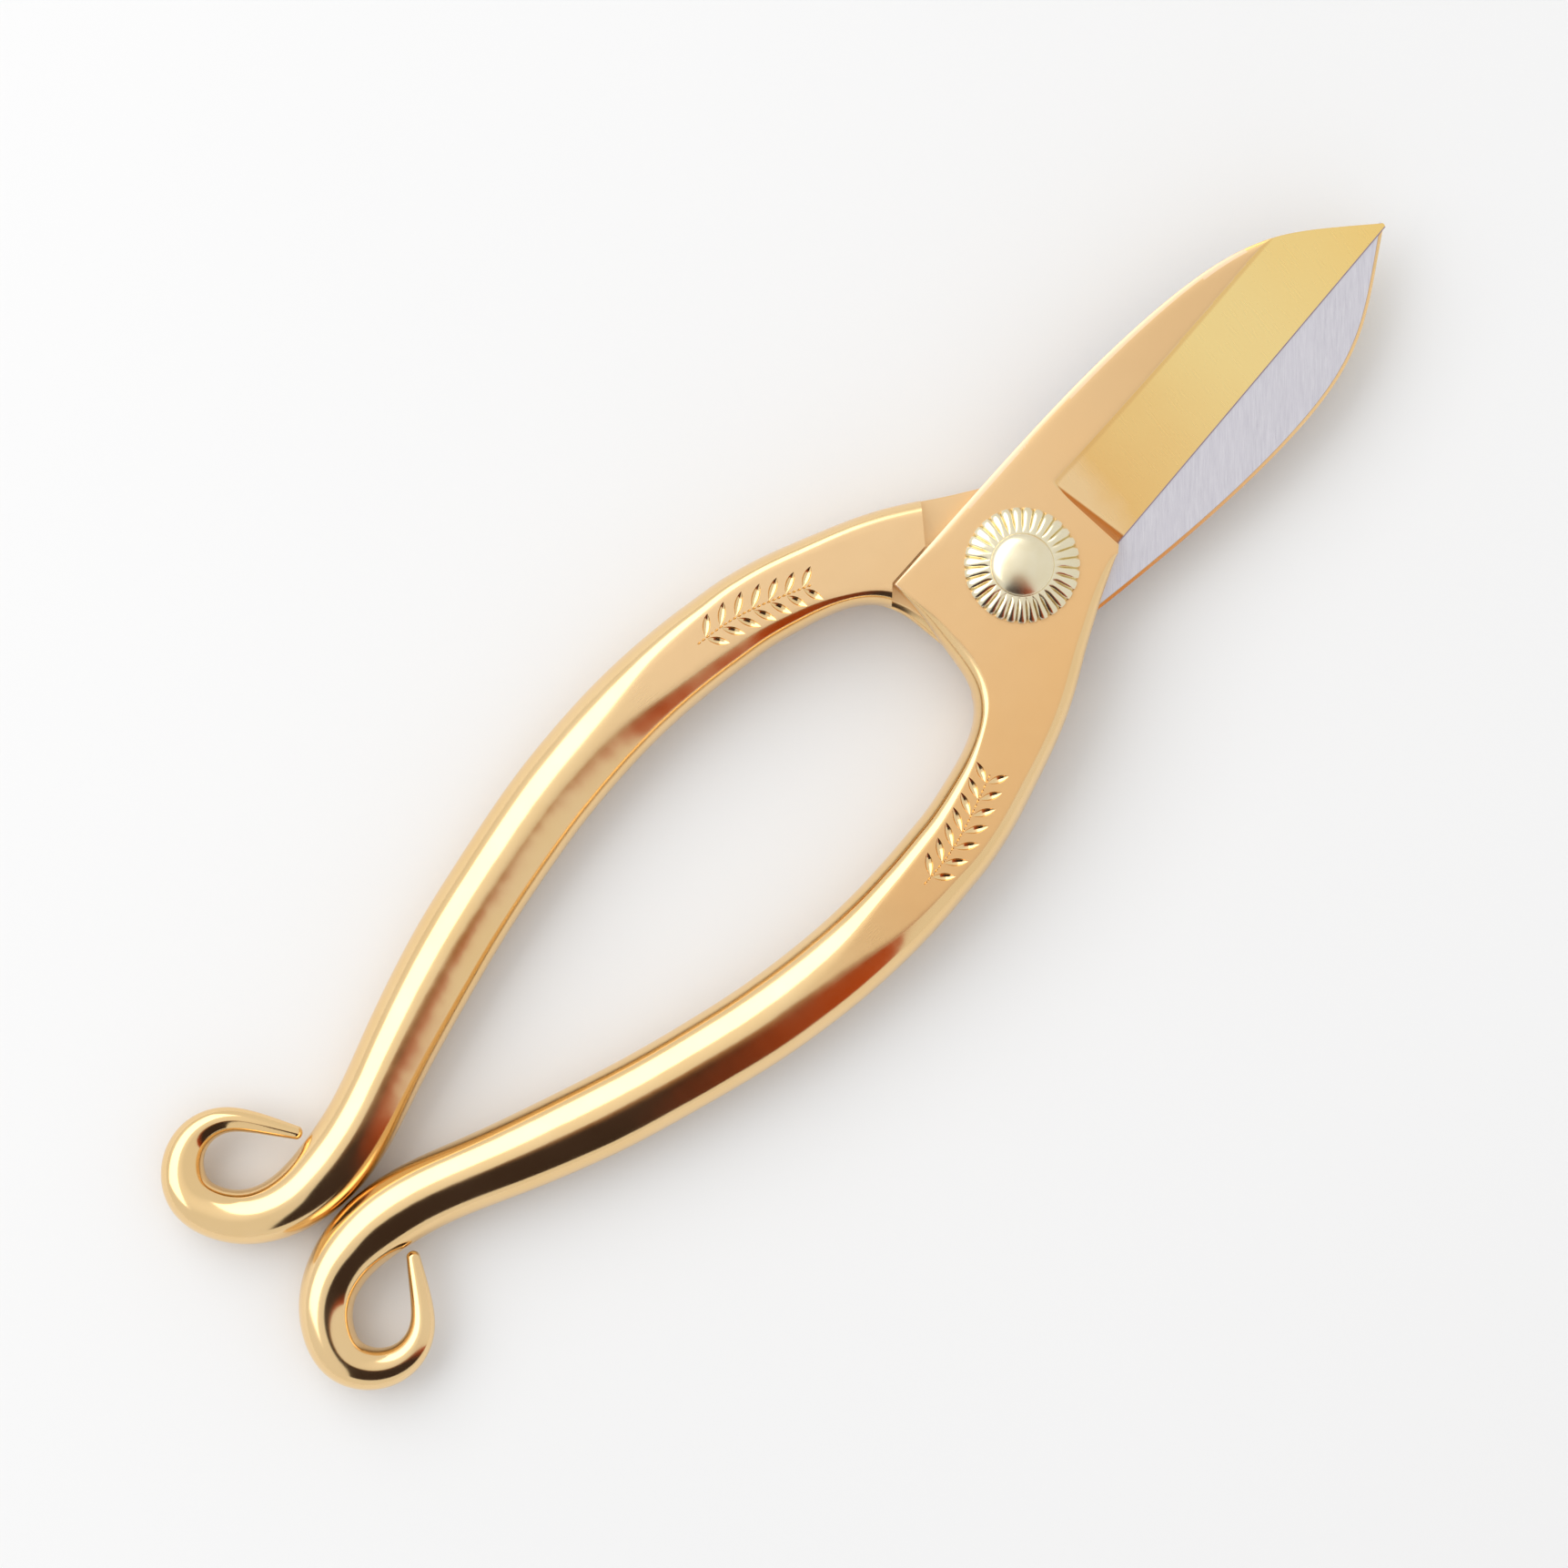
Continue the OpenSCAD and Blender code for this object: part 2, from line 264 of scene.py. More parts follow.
def ring(rib, blade=False):
    """Points (x, y, z) of a closed ring over and under a rib. A blade's ring has the bevel above,
    and below it is flat at the inner face."""
    a, b = rib[0:2], rib[2:4]
    width = np.hypot(*(b - a))
    across = (b - a) / width
    ra, rb, ha, hb = rib[4:8]
    ra, rb = min(ra, width / 2), min(rb, width / 2)
    high = rib[8]
    crown = CENTRE_Z + high
    u = np.unique(np.concatenate([
        ra * (1 - np.cos(np.linspace(0, math.pi / 2, ROUND_POINTS))),
        np.linspace(ra, width - rb, FLAT_POINTS),
        width - rb * (1 - np.cos(np.linspace(math.pi / 2, 0, ROUND_POINTS))),
    ]))

    def rounded(d, r, h):
        return crown - h * (1 - np.sqrt(np.clip(1 - (1 - np.clip(d / r, 0, 1)) ** 2, 0, 1)))

    z = np.minimum(rounded(u, ra, ha), rounded(width - u, rb, hb))
    if blade:
        z = np.minimum(z, top_height(a[0] + across[0] * u, a[1] + across[1] * u))
    over = np.column_stack([u, z])
    if blade:
        fillet = min(SPINE_FILLET, 0.25 * width, 0.35 * (z[0] - FACE_GAP))
        start = FACE_GAP + fillet + 0.01
        over = resample(np.vstack([[0, start], over, [width, CENTRE_Z]]), OVER, BENDS)
        low = -1.0
        turn = np.linspace(0, math.pi / 2, 9)
        rounding = np.column_stack([
            fillet * (1 - np.sin(turn)), FACE_GAP + fillet * (1 - np.cos(turn))
        ])
        under = np.vstack([
            [width, CENTRE_Z], [width, low], [width / 2, low], [fillet, low], rounding, [0, start]
        ])
        under = resample(under, UNDER + 2, FEW_BENDS)[1:-1]
    else:
        over = resample(np.vstack([[0, CENTRE_Z], over, [width, CENTRE_Z]]), OVER, BENDS)
        under = np.column_stack([u, 2 * CENTRE_Z - z])[::-1]
        under = np.vstack([[width, CENTRE_Z], under, [0, CENTRE_Z]])
        under = resample(under, UNDER + 2, BENDS)[1:-1]
    profile = np.vstack([over, under])
    return np.column_stack([
        a[0] + across[0] * profile[:, 0], a[1] + across[1] * profile[:, 0], profile[:, 1]
    ])


def handle_ribs():
    """Ribs x1, y1, x2, y2, rounding in and out, their heights, half height; curl to pivot."""
    centre = spline(ROD)
    shares = np.sort(np.concatenate([centre.shares, (centre.shares[1:] + centre.shares[:-1]) / 2]))
    at = centre(shares)
    run = centre(shares + 0.001)[:, :2] - centre(shares - 0.001)[:, :2]
    run /= np.linalg.norm(run, axis=1)[:, None]
    side = np.column_stack([-run[:, 1], run[:, 0]])
    half = at[:, 2:3] / 2
    tall = np.minimum(half[:, 0], HIGH)
    rod = np.column_stack([
        at[:, :2] + side * half, at[:, :2] - side * half, at[:, 3], at[:, 4], tall, tall, tall
    ])
    root = np.array([[*rib[:6], min(rib[6], HIGH), min(rib[7], HIGH), HIGH] for rib in ROOT])
    ribs = np.vstack([rod, root])
    curve = spline(ribs)
    curl_end = curve.shares[CURL_RIBS]
    root_start = curve.shares[len(rod) - 1]
    t = np.concatenate([
        np.linspace(0, curl_end, CURL_RINGS, endpoint=False),
        np.linspace(curl_end, root_start, ROD_RINGS - CURL_RINGS, endpoint=False),
        np.linspace(root_start, 1, ROOT_RINGS),
    ])
    out = curve(t)
    out[:, 4:8] = np.maximum(out[:, 4:8], 0.1)
    out[:, 6:8] = np.minimum(out[:, 6:8], out[:, 8:9])
    return out


def rounded_tip(ribs):
    """A few shrinking ribs before the first, so that the curl's end is round."""
    first = ribs[0]
    middle = (first[0:2] + first[2:4]) / 2
    half = (first[0:2] - first[2:4]) / 2
    run = (ribs[0][0:2] + ribs[0][2:4] - ribs[1][0:2] - ribs[1][2:4]) / 2
    run /= np.linalg.norm(run)
    size = np.linalg.norm(half)
    caps = []
    for angle in np.radians([86, 72, 56, 40, 26, 12]):
        cap = first.copy()
        shrink = math.cos(angle)
        centre = middle + run * size * 0.9 * math.sin(angle)
        cap[0:2] = centre + half * shrink
        cap[2:4] = centre - half * shrink
        cap[4:9] = first[4:9] * shrink
        caps.append(cap)
    return np.vstack([caps, ribs])


def blade_ribs():
    """Ribs from the line of corner and heel to the tip, square to X beyond the bevel's step."""
    back = spline(SPINE)(np.linspace(0, 1, 2000))[:, :2]

    def spine_y(x):
        return np.interp(x, back[:, 0], back[:, 1])

    def edge_y(x):
        heel_slope = (EDGE_HEEL[1] - HEEL[1]) / (EDGE_HEEL[0] - HEEL[0])
        at_heel = HEEL[1] + (x - HEEL[0]) * heel_slope
        return np.where(x < EDGE_HEEL[0], at_heel, EDGE_HEEL[1] + (x - EDGE_HEEL[0]) * EDGE_SLOPE)

    # Ribs fan out to the step, crowd together just past it, and are square to X from here on.
    fan, gap, square_from = 46, 0.01, 30
    past_step = gap + 3.2 * np.linspace(0, 1, 30) ** 1.6
    far = np.arange(STEP_FRONT[0] + past_step[-1] + 0.2, TIP_X - 0.7, 0.5)
    turned_share = np.clip((square_from - far) / (square_from - far[0]), 0, 1)
    lean = (STEP_FRONT[0] - STEP_BACK[0]) * turned_share
    last = TIP_X - np.array([0.6, 0.4, 0.25, 0.12])
    back_x = np.concatenate([
        np.linspace(CORNER[0], STEP_BACK[0] - gap, fan), STEP_BACK[0] + past_step, far - lean, last
    ])
    edge_x = np.concatenate([
        np.linspace(HEEL[0], STEP_FRONT[0] - gap, fan), STEP_FRONT[0] + past_step, far, last
    ])
    ribs = []
    for xa, xb in zip(back_x, edge_x):
        ya, yb = spine_y(xa), edge_y(xb)
        width = math.hypot(xb - xa, yb - ya)
        crowned = 0.3 + 0.9 * float(smooth_step(np.array(xa), CORNER[0], CORNER[0] + 9))
        spine_r, spine_h = min(crowned, 0.3 * width), min(0.2, 0.25 * width)
        ribs.append([xa, ya, xb, yb, spine_r, 0.05, spine_h, 0.05, HIGH])
    return np.array(ribs)[1:]


def add_mesh(name, verts, faces):
    mesh = bpy.data.meshes.new(name)
    mesh.from_pydata([tuple(v) for v in verts], [], faces)
    mesh.validate()
    mesh.update()
    piece = bpy.data.objects.new(name, mesh)
    bpy.context.scene.collection.objects.link(piece)
    return piece


def skin_faces(rings, base=0):
    """Faces that close rings of equal length, with both ends capped; base: the first point."""
    n = len(rings[0])
    end = base + (len(rings) - 1) * n
    faces = []
    for start in range(base, end, n):
        for k in range(n):
            a, b = start + k, start + (k + 1) % n
            faces.append((a, b, b + n, a + n))
    faces.append(tuple(range(base + n - 1, base - 1, -1)))
    faces.append(tuple(range(end, end + n)))
    return faces


def skin(name, rings):
    """A closed mesh over rings of equal length."""
    return add_mesh(name, np.vstack(rings), skin_faces(rings))


def circle(radius, count):
    turns = np.linspace(0, 2 * math.pi, count, endpoint=False)
    return [(radius * math.cos(t), radius * math.sin(t)) for t in turns]


def prism(name, outline, low, high):
    n = len(outline)
    verts = [(x, y, low) for x, y in outline] + [(x, y, high) for x, y in outline]
    faces = [tuple(range(n - 1, -1, -1)), tuple(range(n, 2 * n))]
    faces += [(k, (k + 1) % n, n + (k + 1) % n, n + k) for k in range(n)]
    piece = add_mesh(name, verts, faces)
    outward(piece)
    return piece


def outward(piece):
    bm = bmesh.new()
    bm.from_mesh(piece.data)
    bmesh.ops.recalc_face_normals(bm, faces=bm.faces)
    bm.to_mesh(piece.data)
    bm.free()


def cut(piece, tool):
    """Takes the tool's volume out of the piece, for good."""
    change = piece.modifiers.new("cut", "BOOLEAN")
    change.operation = "DIFFERENCE"
    change.solver = "EXACT"
    change.object = tool
    evaluated = piece.evaluated_get(bpy.context.evaluated_depsgraph_get())
    mesh = bpy.data.meshes.new_from_object(evaluated)
    if not mesh.polygons:
        raise RuntimeError("cutting " + piece.name + " with " + tool.name + " left nothing")
    piece.modifiers.clear()
    old = piece.data
    piece.data = mesh
    bpy.data.meshes.remove(old)
    bpy.data.objects.remove(tool, do_unlink=True)


# The shoulder of the lap: along the other blade's back, then turned out of its way.
SPINE_SLOPE = math.atan((SPINE[1][1] - CORNER[1]) / (SPINE[1][0] - CORNER[0]))
SPINE_REACH = SPINE[1][1] * math.cos(SPINE_SLOPE) + SHOULDER_GAP
STOP_SLOPE = SPINE_SLOPE + math.radians(STOP_ANGLE)
STOP_REACH = SPINE_REACH + STOP_ROOM


def foot(x, slope, reach):
    """The point at x on a sloping line below the pivot, that far from it."""
    return (x, -(reach + x * math.sin(slope)) / math.cos(slope))


def lap_outline():
    turn_x = SPINE_REACH / math.cos(SPINE_SLOPE) - STOP_REACH / math.cos(STOP_SLOPE)
    turn_x /= math.tan(STOP_SLOPE) - math.tan(SPINE_SLOPE)
    return [
        (60, -20), foot(5, STOP_SLOPE, STOP_REACH), foot(turn_x, STOP_SLOPE, STOP_REACH),
        foot(CORNER[0], SPINE_SLOPE, SPINE_REACH), (-12.4, -7.3), (-13.3, -6.4), (-15, -5.5),
        (-15, 12), (60, 12),
    ]


def bow_rounding(name):
    """The cutter that rounds the lap's edge along the finger bow, from the root to the corner."""
    radii = (0.9, 0.95, 1, 0.95, 0.8, 0.5, 0.15)
    line = spline([(*rib[:2], radius) for rib, radius in zip(ROOT[4:], radii)])
    shares = np.linspace(0, 1, 60)
    here = line(shares)
    run = line(shares + 0.004)[:, :2] - line(shares - 0.004)[:, :2]
    run /= np.linalg.norm(run, axis=1)[:, None]
    turn = np.linspace(0, math.pi / 2, 13)
    rings = []
    for (x, y, size), (run_x, run_y) in zip(here, run):
        inward = np.concatenate([[-1, size], size * (1 - np.sin(turn)), [-1]])
        z = FACE_GAP + np.concatenate([[-1, -1], size * (1 - np.cos(turn)), [size]])
        rings.append(np.column_stack([x + run_y * inward, y - run_x * inward, z]))
    piece = skin(name, rings)
    outward(piece)
    return piece


def facing_outline(grow=0.0):
    """The steel face in plan: along the spine, just past the gold's edge, and an arc at the
    pivot. grow: how much larger it is all round, for its pocket."""
    back = spline(SPINE)(np.linspace(0, 1, 160))[:, :2]
    run = np.gradient(back, axis=0)
    run /= np.linalg.norm(run, axis=1)[:, None]
    inset = FACING_INSET - grow
    inner = back + np.column_stack([run[:, 1], -run[:, 0]]) * inset
    reach = ROSETTE_R + FACING_CLEAR - grow
    start = math.asin(FACING_LOW / reach)
    arc = [
        (reach * math.cos(t), reach * math.sin(t))
        for t in np.linspace(-start, math.pi / 2 - 0.2, 24)
    ]
    line = EDGE_HEEL[1] + (inner[:, 0] - EDGE_HEEL[0]) * EDGE_SLOPE
    keep = (inner[:, 0] > FACING_FROM) & (inner[:, 1] > line + 0.05)
    points = [tuple(p) for p in inner[keep]]
    out = EDGE_SIDE * (EDGE_PROUD + grow)
    tip, heel = np.array(EDGE_TIP) - out, np.array(EDGE_HEEL) - out
    return [(FACING_FROM, arc[-1][1])] + points + [tuple(tip), tuple(heel)] + arc


def facing_solid(name, grow, low):
    """The facing's prism with its upper side kept a little below the ground bevel."""
    piece = prism(name, facing_outline(grow), low, FACE_GAP + FACING_T + grow)
    start = Vector((EDGE_HEEL[0], EDGE_HEEL[1], EDGE_T - FACING_COVER + grow))
    bm = bmesh.new()
    bm.from_mesh(piece.data)
    for slope in ((PLATE_T - EDGE_T) / FACING_BEVEL, EDGE_STEEP):
        normal = Vector((-EDGE_SIDE[0] * slope, -EDGE_SIDE[1] * slope, 1)).normalized()
        bmesh.ops.bisect_plane(
            bm, geom=bm.verts[:] + bm.edges[:] + bm.faces[:], dist=1e-5, clear_outer=True,
            plane_co=start, plane_no=normal,
        )
        bmesh.ops.holes_fill(bm, edges=[e for e in bm.edges if e.is_boundary])
    bmesh.ops.recalc_face_normals(bm, faces=bm.faces)
    bm.to_mesh(piece.data)
    bm.free()
    return piece


def leaf(centre, heading, length, width, depth):
    """Rings of a slim pointed leaf about z = 0, to be cut into a flat."""
    steps, sides = 10, 8
    rings = []
    c, s = math.cos(heading), math.sin(heading)
    for i in range(steps + 1):
        t = i / steps
        half = max(width / 2 * math.sin(math.pi * t) ** 0.8, 0.01)
        ring_points = []
        for k in range(sides):
            a = 2 * math.pi * k / sides
            u, v = (t - 0.5) * length, half * math.cos(a)
            z = max(depth * math.sin(math.pi * t), 0.01) * math.sin(a)
            ring_points.append((centre[0] + u * c - v * s, centre[1] + u * s + v * c, z))
        rings.append(np.array(ring_points))
    return rings


def sprig(side_z):
    """Engraved leaf sprig on the root flat, a plain decorative mark. side_z: the flat's height.
    Its leaves and vein don't touch each other, because overlapping cutters would spoil the cut."""
    stem = spline([(-31.5, -17.9), (-27, -17.3), (-22.5, -15.9), (-18, -14.1)])
    pairs, spread, vein_pieces = 7, math.radians(48), 24
    tools = []
    shares = np.linspace(0.08, 0.92, pairs)
    here = stem(shares)
    ahead = stem(shares + 0.01)
    for i, (p, q) in enumerate(zip(here, ahead)):
        heading = math.atan2(q[1] - p[1], q[0] - p[0])
        for side in (-1, 1):
            tilt = heading + side * spread
            length = 2.8 - 0.12 * abs(i - 2.5)
            centre = p + np.array([math.cos(tilt), math.sin(tilt)]) * (length / 2 + 0.2)
            tools.append(leaf(centre, tilt, length, 0.86, 0.3))
    vein = stem(np.linspace(0, 1, vein_pieces + 1))
    for p, q in zip(vein[:-1], vein[1:]):
        tilt = math.atan2(q[1] - p[1], q[0] - p[0])
        tools.append(leaf((p + q) / 2, tilt, 0.88 * np.hypot(*(q - p)), 0.24, 0.16))
    verts, faces = [], []
    for rings in tools:
        faces += skin_faces(rings, base=len(verts))
        for r in rings:
            verts.extend((x, y, side_z + z) for x, y, z in r)
    piece = add_mesh("sprig_tool", verts, faces)
    outward(piece)
    return piece


def place(piece, turned):
    """From the lever's own millimetres about the middle plane to the frame, in metres."""
    over = Matrix.Rotation(math.pi, 4, "X") if turned else Matrix.Identity(4)
    to_frame = Matrix.Diagonal((MM, MM, MM, 1)) @ Matrix.Translation((0, 0, MID_Z))
    piece.data.transform(to_frame @ over)
    piece.data.update()


def shade(piece, angle=28.0):
    """Smooth faces, with edges sharper than the angle kept crisp."""
    bm = bmesh.new()
    bm.from_mesh(piece.data)
    limit = math.radians(angle)
    for face in bm.faces:
        face.smooth = True
    for edge in bm.edges:
        edge.smooth = len(edge.link_faces) == 2 and edge.calc_face_angle(0) < limit
    bm.to_mesh(piece.data)
    bm.free()


def clean(piece):
    """Merges the slivers that cutting leaves."""
    bm = bmesh.new()
    bm.from_mesh(piece.data)
    bmesh.ops.remove_doubles(bm, verts=bm.verts, dist=0.0005)
    bmesh.ops.dissolve_degenerate(bm, dist=0.0002, edges=bm.edges)
    bmesh.ops.recalc_face_normals(bm, faces=bm.faces)
    bm.to_mesh(piece.data)
    bm.free()


# The order of a lever's materials, and the strip beside the spine that is paler as a painted
# highlight: its far end, its width and its depth below the flat.
PLATE_GOLD, BEVEL_GOLD, EDGE_GOLD, SHEEN_GOLD = range(4)
SHEEN_END = 41
SHEEN_WIDTH = 1.1
SHEEN_DEPTH = 0.21
# How much larger the pocket is than the facing in it.
POCKET_GAP = 0.02


def lever_gold(face, back):
    """Which gold a lever's face takes. back: points along the spine."""
    x, y, z = face.center
    normal = face.normal
    inside = np.interp(x, back[:, 0], back[:, 1]) - y
    # The crown beside the spine takes a paler gold, which is a painted highlight.
    beside_spine = CORNER[0] < x < SHEEN_END and inside < SHEEN_WIDTH
    if beside_spine and z > PLATE_T - SHEEN_DEPTH and 0.1 < normal.z < 0.995:
        return SHEEN_GOLD
    leans = 0.3 < normal.z < 0.985 or normal.x > 0.8
    if beyond_step(x, y) > 0 and 0.05 < z < PLATE_T - 0.03 and leans:
        return BEVEL_GOLD
    if x < 0 and abs(z - FACE_GAP) < 0.01:
        return BEVEL_GOLD
    if x > 0 and y > 3 and normal.y > 0.05 and FACE_GAP < z < FACE_GAP + SPINE_FILLET:
        return EDGE_GOLD
    return PLATE_GOLD


def lever(name, turned, materials):
    rings = [ring(rib) for rib in rounded_tip(handle_ribs())]
    rings += [ring(rib, blade=True) for rib in blade_ribs()]
    piece = skin(name, rings)
    outward(piece)
    cut(piece, prism("lap_tool", lap_outline(), FACE_GAP - 8, FACE_GAP))
    cut(piece, bow_rounding("bow_tool"))
    cut(piece, facing_solid("pocket_tool", POCKET_GAP, FACE_GAP - 1))
    cut(piece, prism("bore_tool", circle(BORE_R, 96), -10, 10))
    cut(piece, sprig(LEVER_BOTTOM if turned else PLATE_T))
    clean(piece)
    for m in materials:
        piece.data.materials.append(m)
    back = spline(SPINE)(np.linspace(0, 1, 400))[:, :2]
    for face in piece.data.polygons:
        face.material_index = lever_gold(face, back)
    shade(piece)
    place(piece, turned)
    return piece


def facing(name, turned, materials):
    piece = facing_solid(name, 0.0, FACE_GAP - 0.01)
    for m in materials:
        piece.data.materials.append(m)
    for face in piece.data.polygons:
        # Steep faces take the dark edge steel, whose dark purple is partly painted shade.
        face.material_index = 1 if 0.2 < face.normal.z < 0.85 else 0
    shade(piece)
    place(piece, turned)
    return piece


# ---------------------------------------------------------------- pivot
FLUTE_DEPTH = 0.40
# How far the rim draws in at each valley.
RIM_PINCH = 0.12


def rosette(name, turned, material):
    """A dished washer whose rim is pressed into rounded flutes."""
    around = FLUTES * 16
    base = PLATE_T
    crest = ROSETTE_T
    rim_r = ROSETTE_R - 0.02
    profile = spline([
        (3.5, crest), (4.0, crest - 0.02), (4.6, crest - 0.1), (5.2, crest - 0.26),
        (5.7, crest - 0.44), (6.05, crest - 0.64), (rim_r, crest - 0.84),
    ])(np.linspace(0, 1, 40))
    loops = []
    angles = np.linspace(0, 2 * math.pi, around, endpoint=False)
    off_crest = np.abs((angles * FLUTES / (2 * math.pi)) % 1 * 2 - 1)
    valley = 1 - np.sqrt(1 - off_crest**2.2)
    bore = [(BORE_R, 0.0), (BORE_R, crest - 0.02), (3.3, crest)]
    for r, z in bore + [tuple(p) for p in profile]:
        depth = FLUTE_DEPTH * float(smooth_step(np.array(r), 3.45, 4.6))
        rim = RIM_PINCH * float(smooth_step(np.array(r), 5.4, 6.2))
        radius = r - rim * valley
        height = np.maximum(z - depth * valley, 0.05 if z > 0 else 0.0)
        loops.append(np.column_stack([
            radius * np.cos(angles), radius * np.sin(angles), base + height
        ]))
    radius = rim_r - RIM_PINCH * valley
    loops.append(np.column_stack([
        radius * np.cos(angles), radius * np.sin(angles), np.full(around, base + 0.01)
    ]))
    verts = np.vstack(loops)
    faces = []
    count = len(loops)
    for i in range(count):
        for k in range(around):
            a, b = i * around + k, i * around + (k + 1) % around
            c, d = ((i + 1) % count) * around + (k + 1) % around, ((i + 1) % count) * around + k
            faces.append((a, b, c, d))
    piece = add_mesh(name, verts, faces)
    outward(piece)
    piece.data.materials.append(material)
    shade(piece, 38)
    place(piece, turned)
    return piece


def revolve(name, profile, around=128):
    """A solid of revolution about Z from an (r, z) profile that starts and ends on the axis."""
    verts = [(0, 0, profile[0][1])]
    faces = []
    inner = profile[1:-1]
    for r, z in inner:
        verts += [(x, y, z) for x, y in circle(r, around)]
    verts.append((0, 0, profile[-1][1]))
    last = len(verts) - 1
    for k in range(around):
        n = (k + 1) % around
        faces.append((0, 1 + n, 1 + k))
        for i in range(len(inner) - 1):
            a = 1 + i * around
            faces.append((a + k, a + n, a + around + n, a + around + k))
        a = 1 + (len(inner) - 1) * around
        faces.append((a + k, a + n, last))
    return add_mesh(name, verts, faces)


def rivet(material):
    """The shank, its peened flat end below, and a dome that is steeper at its rim."""
    seat = PLATE_T + ROSETTE_T
    head_r, head_h = 3.45, DOME_TOP - seat
    profile = [
        (0, PEEN_END), (1.6, PEEN_END), (2.35, PEEN_END), (2.55, PEEN_END + 0.03),
        (2.8, PEEN_END + 0.12), (3.05, PEEN_END + 0.28), (3.25, PEEN_END + 0.5),
        (3.35, -seat - 0.12), (3.36, -seat), (3.0, -seat), (SHANK_R, -seat), (SHANK_R, 0),
        (SHANK_R, seat), (3.2, seat - 0.02), (head_r, seat - 0.01),
    ]
    for share in np.linspace(0.995, 0.02, 44):
        drop = head_h * (0.58 * share**2 + 0.36 * share**10)
        profile.append((head_r * share, seat + head_h - drop))
    profile.append((0, seat + head_h))
    piece = revolve("rivet_body", profile)
    outward(piece)
    piece.data.materials.append(material)
    shade(piece, 32)
    place(piece, False)
    return piece


# ---------------------------------------------------------------- materials
class Nodes:
    """Short calls for building one material's node tree."""

    def __init__(self, name):
        self.material = bpy.data.materials.new(name)
        self.material.use_nodes = True
        self.tree = self.material.node_tree
        self.shader = next(n for n in self.tree.nodes if n.type == "BSDF_PRINCIPLED")
        self.place = self.add("ShaderNodeTexCoord").outputs["Object"]

    def add(self, kind, **settings):
        node = self.tree.nodes.new(kind)
        for key, value in settings.items():
            setattr(node, key, value)
        return node

    def link(self, source, target):
        self.tree.links.new(source, target)

    def stretched(self, scale, turn=0.0, kind="POINT"):
        node = self.add("ShaderNodeMapping", vector_type=kind)
        node.inputs["Scale"].default_value = scale
        node.inputs["Rotation"].default_value = (0, 0, turn)
        self.link(self.place, node.inputs["Vector"])
        return node.outputs["Vector"]

    def parts(self, vector):
        """The X, Y and Z of a vector, by name."""
        node = self.add("ShaderNodeSeparateXYZ")
        self.link(vector, node.inputs[0])
        return node.outputs

    def normal(self):
        return self.add("ShaderNodeNewGeometry").outputs["Normal"]

    def noise(self, vector, scale, detail=3.0, rough=0.5):
        node = self.add("ShaderNodeTexNoise")
        node.inputs["Scale"].default_value = scale
        node.inputs["Detail"].default_value = detail
        node.inputs["Roughness"].default_value = rough
        self.link(vector, node.inputs["Vector"])
        return node.outputs["Fac"]

    def ramp(self, fac, low, high, out_low=0.0, out_high=1.0):
        node = self.add("ShaderNodeMapRange")
        node.inputs["From Min"].default_value = low
        node.inputs["From Max"].default_value = high
        node.inputs["To Min"].default_value = out_low
        node.inputs["To Max"].default_value = out_high
        self.link(fac, node.inputs["Value"])
        return node.outputs["Result"]

    def math(self, operation, a, b):
        node = self.add("ShaderNodeMath", operation=operation)
        for socket, value in zip(node.inputs, (a, b)):
            if isinstance(value, (int, float)):
                socket.default_value = value
            else:
                self.link(value, socket)
        return node.outputs["Value"]

    def mix(self, fac, a, b):
        node = self.add("ShaderNodeMix", data_type="RGBA")
        sockets = [s for s in node.inputs if s.enabled]
        for socket, value in zip(sockets, (fac, a, b)):
            if isinstance(value, tuple):
                socket.default_value = (*value, 1)
            elif isinstance(value, float):
                socket.default_value = value
            else:
                self.link(value, socket)
        return next(s for s in node.outputs if s.enabled)

    def bump(self, height, strength, distance):
        node = self.add("ShaderNodeBump")
        node.inputs["Strength"].default_value = strength
        node.inputs["Distance"].default_value = distance
        self.link(height, node.inputs["Height"])
        self.link(node.outputs["Normal"], self.shader.inputs["Normal"])

    def set(self, name, value):
        if isinstance(value, (int, float)):
            self.shader.inputs[name].default_value = value
        elif isinstance(value, tuple):
            self.shader.inputs[name].default_value = (*value, 1)
        else:
            self.link(value, self.shader.inputs[name])


# Places in metres from the pivot where one look passes into the next. Along a lever: polished
# rod to satin root, and bright rod to duller plate. On the flats: across the plate, and along
# the blade. Along the bevel: out of the step's foot, which is paler and in its fillet a painted
# highlight, through darker painted shade to the middle, brighter as painted light, and to the tip.
# Along the inner edge: out of its red start, which is painted shade.
TO_SATIN = (-0.050, -0.034)
TO_DULLER = (-0.016, -0.006)
ACROSS_PLATE = (-0.012, 0.012)
ALONG_BLADE = (0.004, 0.030)
BEVEL_FOOT = (0.0175, 0.0135)
BEVEL_MIDDLE = (0.015, 0.036)
BEVEL_TIP = (0.042, 0.060)
EDGE_SHADE_FADES = (0.010, 0.036)
# Depths below the flat between which the bevel takes on its redder ridge line, a painted shade line.
RIDGE_SHADE_DEPTHS = (0.00022, 0.00012)
# A normal's Z from rounded edge to flat, and its X from bevel to the step's wall, whose red is painted
# shade.
TO_FLAT = (0.975, 0.998)
TO_SHADED_WALL = (0.55, 0.80)
# The span of a noise that is used, and a narrower one for sharper blotches.
MOTTLE = (0.3, 0.7)
BLOTCHES = (0.35, 0.65)


